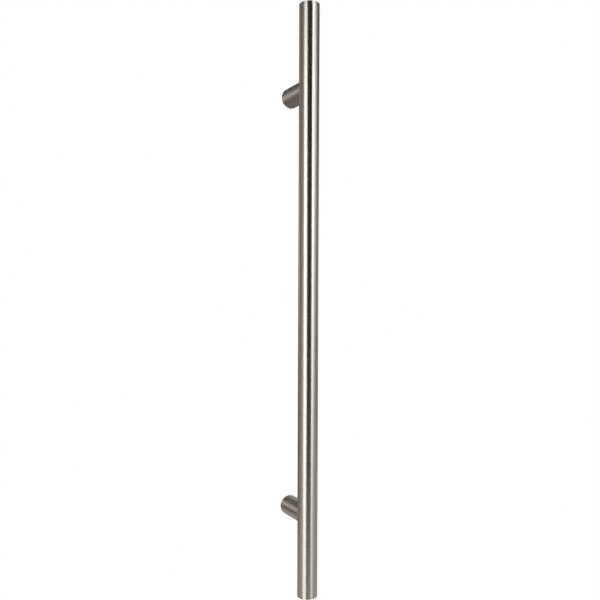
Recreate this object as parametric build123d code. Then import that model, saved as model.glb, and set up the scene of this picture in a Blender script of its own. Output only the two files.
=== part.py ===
from build123d import *
import os

# Straight bar pull handle: a capped tube carried on two round posts.
# Sizes in mm. The door face is y = 0, the posts reach from it along -Y and the bar stands along Z.

# Grip bar
BAR_DIAMETER = 30.0
BAR_OVERHANG = 122.0
TUBE_WALL = 1.5

# End caps
CAP_RIM_HEIGHT = 2.5
CAP_EDGE_CHAMFER = 0.3
CAP_PLUG_LENGTH = 8.0
CAP_PLUG_FIT = 0.05
SEAM_CHAMFER = 0.2

# Posts
POST_CENTRES = 630.0
BAR_TO_DOOR = 60.0
POST_DIAMETER = 30.0
POST_WALL = 5.0
POST_WEB = 10.0
POST_FOOT_CHAMFER = 0.8
SADDLE_FIT = 0.05
SADDLE_TIP_SETBACK = 4.0

# Screw, washer and slug that hold each post to the tube
SCREW_DIAMETER = 8.0
SCREW_LENGTH = 30.0
SCREW_TAP_DIAMETER = 6.8
SCREW_HEAD_DIAMETER = 13.0
SCREW_HEAD_HEIGHT = 8.0
SCREW_SOCKET_FLATS = 6.0
SCREW_SOCKET_DEPTH = 4.0
SCREW_HOLE_CLEARANCE = 0.25
THREAD_FIT = 0.1
WASHER_THICKNESS = 2.0
WASHER_DIAMETER = 14.8
WASHER_FIT = 0.15
WASHER_SPLIT = 1.2
SLUG_LENGTH = 30.0
SLUG_FIT = 0.05

# Bush and grub screw that hold each post to the door
BUSH_LENGTH = 12.0
BUSH_FIT = 0.1
GROOVE_DEPTH = 1.5
GRUB_TAP_DIAMETER = 5.0
GRUB_RECESS = 0.5
GRUB_TIP_DIAMETER = 1.5
GRUB_TIP_FIT = 0.05
GRUB_SOCKET_FLATS = 3.0
GRUB_SOCKET_DEPTH = 2.5

# Sizes that follow from the ones above
BAR_LENGTH = POST_CENTRES + 2 * BAR_OVERHANG
BAR_RADIUS = BAR_DIAMETER / 2
BORE_OF_TUBE = BAR_RADIUS - TUBE_WALL
TUBE_LENGTH = BAR_LENGTH - 2 * CAP_RIM_HEIGHT
BAR_Y = -BAR_TO_DOOR
POST_RADIUS = POST_DIAMETER / 2
POST_BORE = POST_RADIUS - POST_WALL
BORE_FLOOR_Y = BAR_Y + BAR_RADIUS + POST_WEB
SCREW_HOLE = SCREW_DIAMETER / 2 + SCREW_HOLE_CLEARANCE
SCREW_TAP = SCREW_TAP_DIAMETER / 2
SCREW_SEAT_Y = BORE_FLOOR_Y + WASHER_THICKNESS
SLUG_RADIUS = BORE_OF_TUBE - SLUG_FIT
BUSH_RADIUS = POST_BORE - BUSH_FIT
GRUB_Y = -BUSH_LENGTH / 2
GRUB_TAP = GRUB_TAP_DIAMETER / 2


def rod(radius, length):
    return Cylinder(radius, length, align=(Align.CENTER, Align.CENTER, Align.MIN))


def to_door(y):
    return Plane(origin=(0, y, 0), x_dir=(1, 0, 0), z_dir=(0, 1, 0))


def to_bar(y):
    return Plane(origin=(0, y, 0), x_dir=(1, 0, 0), z_dir=(0, -1, 0))


def hex_socket(plane, flats, depth):
    return extrude(plane * RegularPolygon(flats / 2, 6, major_radius=False), depth)


def grip_tube(heights):
    tube = Cylinder(BAR_RADIUS, TUBE_LENGTH)
    tube = chamfer(tube.edges().filter_by(GeomType.CIRCLE), SEAM_CHAMFER)
    tube -= Cylinder(BORE_OF_TUBE, TUBE_LENGTH)
    tube = Pos(0, BAR_Y, 0) * tube
    for height in heights:
        tube -= Pos(0, 0, height) * (to_door(BAR_Y) * rod(SCREW_HOLE, BAR_DIAMETER))
    return tube


def end_cap():
    rim = rod(BAR_RADIUS, CAP_RIM_HEIGHT)
    rim = chamfer(rim.edges().filter_by(GeomType.CIRCLE).sort_by(Axis.Z)[-1], CAP_EDGE_CHAMFER)
    plug = Pos(0, 0, -CAP_PLUG_LENGTH) * rod(BORE_OF_TUBE - CAP_PLUG_FIT, CAP_PLUG_LENGTH)
    return rim + plug


def post():
    body = to_bar(0) * rod(POST_RADIUS, BAR_TO_DOOR - SADDLE_TIP_SETBACK)
    body = chamfer(body.edges().filter_by(GeomType.CIRCLE).sort_by(Axis.Y)[-1], POST_FOOT_CHAMFER)
    body -= Pos(0, BAR_Y, 0) * Cylinder(BAR_RADIUS + SADDLE_FIT, 2 * POST_DIAMETER)
    body -= to_door(BORE_FLOOR_Y) * rod(POST_BORE, BAR_TO_DOOR)
    body -= to_bar(BORE_FLOOR_Y) * rod(SCREW_HOLE, BAR_RADIUS + POST_WEB)
    grub_plane = Plane(origin=(0, GRUB_Y, 0), z_dir=(1, 0, 0))
    return body - grub_plane * rod(GRUB_TAP, POST_DIAMETER)


def post_screw():
    head = to_door(SCREW_SEAT_Y) * rod(SCREW_HEAD_DIAMETER / 2, SCREW_HEAD_HEIGHT)
    head -= hex_socket(to_bar(SCREW_SEAT_Y + SCREW_HEAD_HEIGHT), SCREW_SOCKET_FLATS, SCREW_SOCKET_DEPTH)
    return head + to_bar(SCREW_SEAT_Y) * rod(SCREW_TAP - THREAD_FIT, SCREW_LENGTH)


def spring_washer():
    washer = to_door(BORE_FLOOR_Y) * rod(WASHER_DIAMETER / 2, WASHER_THICKNESS)
    washer -= to_door(BORE_FLOOR_Y) * rod(SCREW_DIAMETER / 2 + WASHER_FIT, WASHER_THICKNESS)
    split = Box(WASHER_DIAMETER, WASHER_SPLIT, WASHER_THICKNESS, align=(Align.MIN, Align.CENTER, Align.MIN))
    return washer - to_door(BORE_FLOOR_Y) * split


def tube_slug():
    slug = Cylinder(SLUG_RADIUS, SLUG_LENGTH)
    return Pos(0, BAR_Y, 0) * (slug - Rot(90, 0, 0) * Cylinder(SCREW_TAP, BAR_DIAMETER))


def mount_bush():
    bush = to_bar(0) * (rod(BUSH_RADIUS, BUSH_LENGTH) - rod(SCREW_TAP, BUSH_LENGTH))
    root = (BUSH_RADIUS - GROOVE_DEPTH, GRUB_Y)
    door_lip = (BUSH_RADIUS + GROOVE_DEPTH, GRUB_Y + 2 * GROOVE_DEPTH)
    bar_lip = (BUSH_RADIUS + GROOVE_DEPTH, GRUB_Y - 2 * GROOVE_DEPTH)
    return bush - revolve(Polygon(root, door_lip, bar_lip, align=None), Axis.Y)


def grub_screw():
    radius = GRUB_TAP - THREAD_FIT
    flat = GRUB_TIP_DIAMETER / 2
    apex = BUSH_RADIUS - GROOVE_DEPTH + GRUB_TIP_FIT
    end = POST_RADIUS - GRUB_RECESS
    cone = [(apex + radius, radius), (apex + flat, flat), (apex + flat, 0)]
    screw = revolve(Polygon((end, 0), (end, radius), *cone, align=None), Axis.X)
    screw -= hex_socket(Plane(origin=(end, 0, 0), z_dir=(-1, 0, 0)), GRUB_SOCKET_FLATS, GRUB_SOCKET_DEPTH)
    return Pos(0, GRUB_Y, 0) * screw


os.makedirs("parts", exist_ok=True)
heights = {"upper": POST_CENTRES / 2, "lower": -POST_CENTRES / 2}
cap_seat = Pos(0, BAR_Y, 0)
nodes = {
    "grip_tube": grip_tube(heights.values()),
    "top_end_cap": cap_seat * Pos(0, 0, TUBE_LENGTH / 2) * end_cap(),
    "bottom_end_cap": cap_seat * Rot(180, 0, 0) * Pos(0, 0, TUBE_LENGTH / 2) * end_cap(),
}
for place, height in heights.items():
    for piece in (post, tube_slug, post_screw, spring_washer, mount_bush, grub_screw):
        nodes[f"{place}_{piece.__name__}"] = Pos(0, 0, height) * piece()
for name, shape in nodes.items():
    export_step(shape, f"parts/{name}.step")
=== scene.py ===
import bpy
import math
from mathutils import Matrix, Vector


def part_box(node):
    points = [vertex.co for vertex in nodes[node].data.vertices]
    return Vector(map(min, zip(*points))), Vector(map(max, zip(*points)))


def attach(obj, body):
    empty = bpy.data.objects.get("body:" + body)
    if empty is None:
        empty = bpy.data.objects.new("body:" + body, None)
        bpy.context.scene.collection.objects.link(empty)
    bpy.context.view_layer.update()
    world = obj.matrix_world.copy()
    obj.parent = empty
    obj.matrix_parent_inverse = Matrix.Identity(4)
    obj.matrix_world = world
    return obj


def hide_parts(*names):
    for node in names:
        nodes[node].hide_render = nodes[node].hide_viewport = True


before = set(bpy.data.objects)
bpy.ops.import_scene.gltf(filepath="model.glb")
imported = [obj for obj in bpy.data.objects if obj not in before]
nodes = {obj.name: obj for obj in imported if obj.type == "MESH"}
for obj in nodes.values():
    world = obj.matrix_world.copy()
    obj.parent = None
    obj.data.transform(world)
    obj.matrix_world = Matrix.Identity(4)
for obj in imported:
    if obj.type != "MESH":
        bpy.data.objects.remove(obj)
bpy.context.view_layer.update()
scene = bpy.context.scene
scene.view_settings.view_transform = "Standard"


# Places taken from the frame, in metres
def box_middle(node):
    low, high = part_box(node)
    return (low + high) / 2


BAR_AXIS = tuple(box_middle("grip_tube"))
POST_AXES = {place: (0.0, 0.0, box_middle(place + "_post").z) for place in ("upper", "lower")}


# Helpers for materials and meshes
def new_material(name):
    material = bpy.data.materials.new(name)
    material.use_nodes = True
    tree = material.node_tree
    tree.nodes.clear()
    return material, tree


def add(tree, kind, inputs=None, **settings):
    node = tree.nodes.new(kind)
    for key, value in settings.items():
        setattr(node, key, value)
    for key, value in (inputs or {}).items():
        if isinstance(value, bpy.types.NodeSocket):
            tree.links.new(value, node.inputs[key])
        else:
            node.inputs[key].default_value = value
    return node


def math_node(tree, operation, a, b):
    return add(tree, "ShaderNodeMath", {0: a, 1: b}, operation=operation).outputs[0]


def vector_node(tree, operation, a, b):
    return add(tree, "ShaderNodeVectorMath", {0: a, 1: b}, operation=operation).outputs[0]


def tinted(level, tint):
    return [level * c for c in tint] + [1.0]


def dress(piece, material):
    piece.data.materials.clear()
    piece.data.materials.append(material)


def link_mesh(name, verts, faces):
    mesh = bpy.data.meshes.new(name)
    mesh.from_pydata(verts, [], faces)
    mesh.update()
    piece = bpy.data.objects.new(name, mesh)
    scene.collection.objects.link(piece)
    return piece


# Steel that was turned or brushed in rings about one axis
ACROSS = {"X": (0.0, 1.0, 1.0), "Y": (1.0, 0.0, 1.0), "Z": (1.0, 1.0, 0.0)}
LINES_PER_METRE = 2600.0
BREAKS_PER_METRE = 45.0
LINE_DETAIL, LINE_ROUGHNESS = 4.0, 0.65
CLOUDS_PER_METRE = 38.0
CLOUD_DETAIL = 3.0
LINE_SHARE = 0.7
BLEND_LOW, BLEND_HIGH = 0.3, 0.7
TINT_LOW, TINT_HIGH = 0.94, 1.05
GRAIN_HEIGHT = 0.00002
GRAIN_RELIEF = 0.06
GLOSS_SWING = 0.03
FOLLOW_RINGS = 0.25


# The lines are counted along the axis and outwards, so flat ends get rings too
def ring_lines(tree, axis, local, lines_per_metre):
    across = vector_node(tree, "MULTIPLY", local, ACROSS[axis])
    radius = add(tree, "ShaderNodeVectorMath", {0: across}, operation="LENGTH").outputs["Value"]
    along = add(tree, "ShaderNodeSeparateXYZ", {0: local}).outputs[axis]
    ring = math_node(tree, "MULTIPLY", math_node(tree, "ADD", along, radius), lines_per_metre)
    swept = add(tree, "ShaderNodeVectorMath", {0: across, "Scale": BREAKS_PER_METRE}, operation="SCALE")
    sides = add(tree, "ShaderNodeSeparateXYZ", {0: swept.outputs[0]}).outputs
    first, second = [sides[letter] for letter in "XYZ" if letter != axis]
    ring_space = add(tree, "ShaderNodeCombineXYZ", {0: first, 1: second, 2: ring}).outputs[0]
    noise = add(tree, "ShaderNodeTexNoise", {
        "Vector": ring_space, "Scale": 1.0, "Detail": LINE_DETAIL, "Roughness": LINE_ROUGHNESS})
    return noise.outputs["Fac"]


def ringed_steel(name, axis, centre, color, roughness, anisotropic,
                 lines_per_metre=LINES_PER_METRE, relief=GRAIN_RELIEF, swing=GLOSS_SWING):
    material, tree = new_material(name)
    place = add(tree, "ShaderNodeTexCoord").outputs["Object"]
    local = vector_node(tree, "SUBTRACT", place, centre)
    lines = ring_lines(tree, axis, local, lines_per_metre)
    clouds = add(tree, "ShaderNodeTexNoise", {
        "Vector": local, "Scale": CLOUDS_PER_METRE, "Detail": CLOUD_DETAIL})
    line_part = math_node(tree, "MULTIPLY", lines, LINE_SHARE)
    cloud_part = math_node(tree, "MULTIPLY", clouds.outputs["Fac"], 1.0 - LINE_SHARE)
    blend = math_node(tree, "ADD", line_part, cloud_part)
    tint = add(tree, "ShaderNodeValToRGB", {"Fac": blend})
    ramp = tint.color_ramp.elements
    for stop, position, level in ((ramp[0], BLEND_LOW, TINT_LOW), (ramp[1], BLEND_HIGH, TINT_HIGH)):
        stop.position = position
        stop.color = tinted(level, color)
    gloss = add(tree, "ShaderNodeMapRange", {
        "Value": blend, "From Min": BLEND_LOW, "From Max": BLEND_HIGH,
        "To Min": roughness - swing, "To Max": roughness + swing})
    bump = add(tree, "ShaderNodeBump", {"Strength": relief, "Distance": GRAIN_HEIGHT, "Height": lines})
    tangent = add(tree, "ShaderNodeTangent", direction_type="RADIAL", axis=axis)
    shader = add(tree, "ShaderNodeBsdfPrincipled", {
        "Base Color": tint.outputs["Color"], "Metallic": 1.0, "Roughness": gloss.outputs[0],
        "Anisotropic": anisotropic, "Anisotropic Rotation": FOLLOW_RINGS,
        "Normal": bump.outputs[0], "Tangent": tangent.outputs[0]})
    add(tree, "ShaderNodeOutputMaterial", {"Surface": shader.outputs[0]})
    return material


# Bush with its M8 thread cut, which the solid has at tapping size
THREAD_PITCH = 0.00125
THREAD_DEPTH = 0.0006
TAP_RADIUS = 0.0034
MOUTH_RADIUS = 0.0042
CREST_FLAT, ROOT_FLAT = 0.25, 0.125
GROOVE_DEPTH = 0.0015
EDGE_BREAK = 0.0002
BUSH_COLUMNS = 96
ROWS_PER_PITCH = 12
SHARP_ANGLE = math.radians(35.0)


def thread_depth(pitches):
    off_crest = abs(2.0 * (pitches % 1.0) - 1.0) - CREST_FLAT
    return THREAD_DEPTH * min(1.0, max(0.0, off_crest / (1.0 - CREST_FLAT - ROOT_FLAT)))


# Rings of (y, radius) run once round the bush's section: the turned outside, then back through the thread
def bush_rings(outer, length):
    groove = -length / 2
    turned = [
        (0.0, MOUTH_RADIUS), (0.0, outer - EDGE_BREAK), (-EDGE_BREAK, outer),
        (groove + GROOVE_DEPTH, outer), (groove, outer - GROOVE_DEPTH), (groove - GROOVE_DEPTH, outer),
        (EDGE_BREAK - length, outer), (-length, outer - EDGE_BREAK), (-length, MOUTH_RADIUS)]
    rings = [[(y, radius)] * BUSH_COLUMNS for y, radius in turned]
    rows = round(length / THREAD_PITCH * ROWS_PER_PITCH)
    for row in range(1, rows):
        y = length * (row / rows - 1.0)
        mouth = MOUTH_RADIUS - min(-y, length + y)
        cut = [TAP_RADIUS + thread_depth(y / THREAD_PITCH - c / BUSH_COLUMNS) for c in range(BUSH_COLUMNS)]
        rings.append([(y, max(radius, mouth)) for radius in cut])
    return rings


def threaded_bush(place, centre):
    node = place + "_mount_bush"
    low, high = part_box(node)
    rings = bush_rings((high.x - low.x) / 2, high.y - low.y)
    verts, faces = [], []
    for index, ring in enumerate(rings):
        here = index * BUSH_COLUMNS
        following = (index + 1) % len(rings) * BUSH_COLUMNS
        for column, (y, radius) in enumerate(ring):
            turn = 2 * math.pi * column / BUSH_COLUMNS
            verts.append((radius * math.cos(turn), y, centre[2] + radius * math.sin(turn)))
            beside = (column + 1) % BUSH_COLUMNS
            faces.append((here + column, here + beside, following + beside, following + column))
    bush = link_mesh(place + "_threaded_bush", verts, faces)
    bush.data.polygons.foreach_set("use_smooth", [True] * len(faces))
    bush.data.set_sharp_from_angle(angle=SHARP_ANGLE)
    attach(bush, "root")
    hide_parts(node)
    return bush


# Finishes: the bar is the smoothest, and its rings draw each highlight out along it
SATIN = (0.62, 0.586, 0.515)
DARK_STEEL = (0.50, 0.50, 0.50)
BAR_FINISH = {"color": SATIN, "roughness": 0.28, "anisotropic": 0.86, "relief": 0.02, "swing": 0.005}
POST_FINISH = {"color": SATIN, "roughness": 0.305, "anisotropic": 0.3, "relief": 0.04}
SLUG_FINISH = {"color": (0.60, 0.59, 0.57), "roughness": 0.38, "anisotropic": 0.4}
SCREW_FINISH = {"color": DARK_STEEL, "roughness": 0.36, "anisotropic": 0.3}
WASHER_FINISH = {"color": DARK_STEEL, "roughness": 0.4, "anisotropic": 0.3}
GRUB_FINISH = {"color": (0.45, 0.45, 0.46), "roughness": 0.36, "anisotropic": 0.3}
BUSH_FINISH = {
    "color": (0.66, 0.65, 0.63), "roughness": 0.34, "anisotropic": 0.5,
    "lines_per_metre": 1800.0, "relief": 0.3}

for name in ("grip_tube", "top_end_cap", "bottom_end_cap"):
    dress(nodes[name], ringed_steel("satin_" + name, "Z", BAR_AXIS, **BAR_FINISH))
for place, post_axis in POST_AXES.items():
    grub_axis = tuple(box_middle(place + "_grub_screw"))
    for piece, label, axis, centre, finish in (
            ("post", "satin_post", "Y", post_axis, POST_FINISH),
            ("tube_slug", "slug", "Z", BAR_AXIS, SLUG_FINISH),
            ("post_screw", "screw", "Y", post_axis, SCREW_FINISH),
            ("spring_washer", "washer", "Y", post_axis, WASHER_FINISH),
            ("grub_screw", "grub", "X", grub_axis, GRUB_FINISH)):
        dress(nodes[f"{place}_{piece}"], ringed_steel(f"{label}_{place}", axis, centre, **finish))
    bush_steel = ringed_steel(f"bush_{place}", "Y", post_axis, **BUSH_FINISH)
    dress(threaded_bush(place, post_axis), bush_steel)


# Studio: plain panels standing round the bar, with bearings in degrees to the right of the camera
CAMERA_SIDE = math.radians(-29.0)
STUDIO_ROLL = math.radians(-6.0)  # the panels lean, so the highlights slant a little
PANEL_STEP = 6.0
NEAR, FAR = 1.5, 8.0
LAYER = 0.1
FOOT, TOP = -2.1, 3.2
FRONT_SEAM, LEFT_SEAM, RIGHT_SEAM, BACK_SEAM = -1.1, -0.68, -0.62, -0.75
LEFT_CHANGE, RIGHT_CHANGE = 0.0, -0.12
SIDE_EDGE = 108
FAR_FOOT, FAR_TOP, FAR_CORNER = -5.5, 12.0, 222
CEILING_Z, CEILING_RADIUS, CEILING_LIGHT = 4.2, 3.2, 0.12
FLOOR_Z, FLOOR_RADIUS, FLOOR_GREY, FLOOR_GLOW = -1.95, 1.48, 0.85, 0.74
ROUND_STEPS = 96
ROOM_LIGHT = 0.4

WHITE = (1.0, 1.0, 1.0)
PALE = (1.0, 0.97, 1.0)
IVORY = (1.0, 0.95, 0.94)
CREAM = (1.0, 0.97, 0.90)
MAUVE = (1.0, 0.88, 0.88)
OLIVE = (1.0, 0.96, 0.83)
BROWN = (1.0, 0.76, 0.52)


# A panel shines with the light painted on its vertices, and isn't sampled as a lamp
def panel_light():
    material, tree = new_material("panel_light")
    paint = add(tree, "ShaderNodeAttribute", attribute_name="light")
    light = add(tree, "ShaderNodeEmission", {"Color": paint.outputs["Color"], "Strength": 1.0})
    material.cycles.emission_sampling = "NONE"
    add(tree, "ShaderNodeOutputMaterial", {"Surface": light.outputs[0]})
    return material


PANEL_LIGHT = panel_light()


def light_up(panel, colors):
    dress(panel, PANEL_LIGHT)
    paint = panel.data.color_attributes.new("light", "FLOAT_COLOR", "POINT")
    for item, color in zip(paint.data, colors):
        item.color = color
    panel.visible_camera = False


# Rows go from foot to top: height, left and right bearing, and one light or a pair for the two ends
def make_panel(name, radius, tint, rows):
    columns = math.ceil(max(right - left for height, left, right, light in rows) / PANEL_STEP)
    verts, colors = [], []
    for height, left, right, light in rows:
        light_left, light_right = light if isinstance(light, tuple) else (light, light)
        for column in range(columns + 1):
            across = column / columns
            bearing = math.radians(left + across * (right - left))
            verts.append((radius * math.sin(bearing), -radius * math.cos(bearing), height))
            colors.append(tinted(light_left + across * (light_right - light_left), tint))
    faces = []
    for row in range(len(rows) - 1):
        low = row * (columns + 1)
        high = low + columns + 1
        faces += [(low + c, low + c + 1, high + c + 1, high + c) for c in range(columns)]
    panel = link_mesh(name, verts, faces)
    panel.location = BAR_AXIS
    panel.rotation_euler = (0.0, STUDIO_ROLL, CAMERA_SIDE)
    light_up(panel, colors)


def plain_panel(name, radius, tint, bearings, heights, light):
    make_panel(name, radius, tint, [(height, *bearings, light) for height in heights])


def make_disc(name, radius, height):
    turns = [2 * math.pi * step / ROUND_STEPS for step in range(ROUND_STEPS)]
    verts = [(radius * math.cos(a), BAR_AXIS[1] + radius * math.sin(a), height) for a in turns]
    return link_mesh(name, verts, [tuple(range(ROUND_STEPS))])


make_panel("left_softbox", NEAR - LAYER, WHITE, [
    (FOOT, -54.0, -26.0, 0.88),
    (0.0, -53.0, -15.6, 2.0),
    (0.6, -53.6, -17.4, 2.26),
    (1.13, -53.5, -24.1, 2.55)])
make_panel("right_softbox", NEAR - LAYER, WHITE, [
    (FOOT, 33.5, 51.5, 0.13),
    (0.4, 38.9, 61.8, 2.3),
    (1.1, 39.4, 58.5, 2.95)])
make_panel("front_flat", NEAR + LAYER, BROWN, [
    (FRONT_SEAM, -SIDE_EDGE, SIDE_EDGE, 0.0),
    (0.3, -SIDE_EDGE, SIDE_EDGE, 0.03),
    (TOP, -SIDE_EDGE, SIDE_EDGE, 0.03)])
make_panel("front_skirt", NEAR, OLIVE, [
    (FOOT, -58, 58, 0.15),
    (FRONT_SEAM, -58, 58, 0.75)])
make_panel("left_flat", NEAR, MAUVE, [
    (LEFT_CHANGE, -SIDE_EDGE, -50, (0.2, 0.59)),
    (1.6, -SIDE_EDGE, -50, (0.14, 0.39))])
make_panel("left_low", NEAR, OLIVE, [
    (LEFT_SEAM, -SIDE_EDGE, -50, (0.22, 0.65)),
    (LEFT_CHANGE, -SIDE_EDGE, -50, (0.2, 0.57))])
plain_panel("left_skirt", NEAR, OLIVE, (-112, -50), (FOOT, LEFT_SEAM), 0.42)
plain_panel("back_flat", NEAR, OLIVE, (194, 231), (0.15, 0.85), 0.17)
plain_panel("back_skirt", NEAR, OLIVE, (180, 248), (FOOT, BACK_SEAM), 0.40)
make_panel("right_low", NEAR, OLIVE, [
    (RIGHT_SEAM, 56, SIDE_EDGE, (0.95, 0.07)),
    (RIGHT_CHANGE, 56, SIDE_EDGE, (1.24, 0.1))])
make_panel("right_flat", NEAR, PALE, [
    (RIGHT_CHANGE, 56, SIDE_EDGE, (1.29, 0.1)),
    (0.55, 56, SIDE_EDGE, (1.77, 0.145)),
    (1.04, 56, 100, (2.15, 0.0))])
plain_panel("right_skirt", NEAR, CREAM, (50, 180), (FOOT, RIGHT_SEAM), (0.46, 0.34))
make_panel("far_wall", FAR, MAUVE, [
    (FAR_FOOT, 100, FAR_CORNER, 0.13),
    (FAR_TOP, 100, FAR_CORNER, 0.12)])
plain_panel("far_side", FAR, MAUVE, (FAR_CORNER, 258), (FAR_FOOT, FAR_TOP), 0.165)
make_panel("far_softbox", FAR - LAYER, IVORY, [
    (0.2, 232, 242, 1.05),
    (2.4, 232, 242, 1.1),
    (3.8, 227, 236, 0.65)])
plain_panel("rear_softbox", FAR - LAYER, CREAM, (114, 160), (-1.6, 0.95), 0.45)
plain_panel("rear_strip", FAR - LAYER, CREAM, (161, 174), (-5.0, 6.0), 0.8)
plain_panel("rear_high", FAR - LAYER, CREAM, (176, 194), (1.0, 3.9), 0.6)
ceiling = make_disc("ceiling", CEILING_RADIUS, CEILING_Z)
light_up(ceiling, [tinted(CEILING_LIGHT, MAUVE)] * ROUND_STEPS)


# The surround is white where it is seen, also in the steel, and dim as light on other things
def seen_by_eye(tree):
    path = add(tree, "ShaderNodeLightPath").outputs
    either = math_node(tree, "MAXIMUM", path["Is Camera Ray"], path["Is Glossy Ray"])
    return math_node(tree, "MAXIMUM", either, path["Is Transmission Ray"])


def pale_floor():
    material, tree = new_material("pale_floor")
    matte = add(tree, "ShaderNodeBsdfDiffuse", {"Color": tinted(FLOOR_GREY, WHITE)})
    strength = math_node(tree, "MULTIPLY", seen_by_eye(tree), FLOOR_GLOW)
    glow = add(tree, "ShaderNodeEmission", {"Strength": strength})
    both = add(tree, "ShaderNodeAddShader", {0: matte.outputs[0], 1: glow.outputs[0]})
    add(tree, "ShaderNodeOutputMaterial", {"Surface": both.outputs[0]})
    return material


def make_world():
    world = bpy.data.worlds.new("studio")
    world.use_nodes = True
    tree = world.node_tree
    tree.nodes.clear()
    dim = add(tree, "ShaderNodeBackground", {"Color": tinted(1.0, WHITE), "Strength": ROOM_LIGHT})
    white = add(tree, "ShaderNodeBackground", {"Color": tinted(1.0, WHITE), "Strength": 1.0})
    mix = add(tree, "ShaderNodeMixShader", {0: seen_by_eye(tree), 1: dim.outputs[0], 2: white.outputs[0]})
    add(tree, "ShaderNodeOutputWorld", {"Surface": mix.outputs[0]})
    scene.world = world


floor = make_disc("pale_floor", FLOOR_RADIUS, FLOOR_Z)
dress(floor, pale_floor())
make_world()

# Camera at the photo's viewing angle
SENSOR_WIDTH, LENS = 36.0, 41.982
SHIFT_UP = 0.03
SIGHT_LIMIT = 50.0
EYE_PLACE = (-0.50112, -0.96559, 0.01166)
EYE_ANGLES = (88.2037, -0.2081, -28.2774)

camera = bpy.data.cameras.new("camera")
camera.sensor_width = SENSOR_WIDTH
camera.lens = LENS
camera.shift_y = SHIFT_UP
camera.clip_end = SIGHT_LIMIT
eye = bpy.data.objects.new("camera", camera)
eye.location = EYE_PLACE
eye.rotation_euler = [math.radians(angle) for angle in EYE_ANGLES]
scene.collection.objects.link(eye)
scene.camera = eye
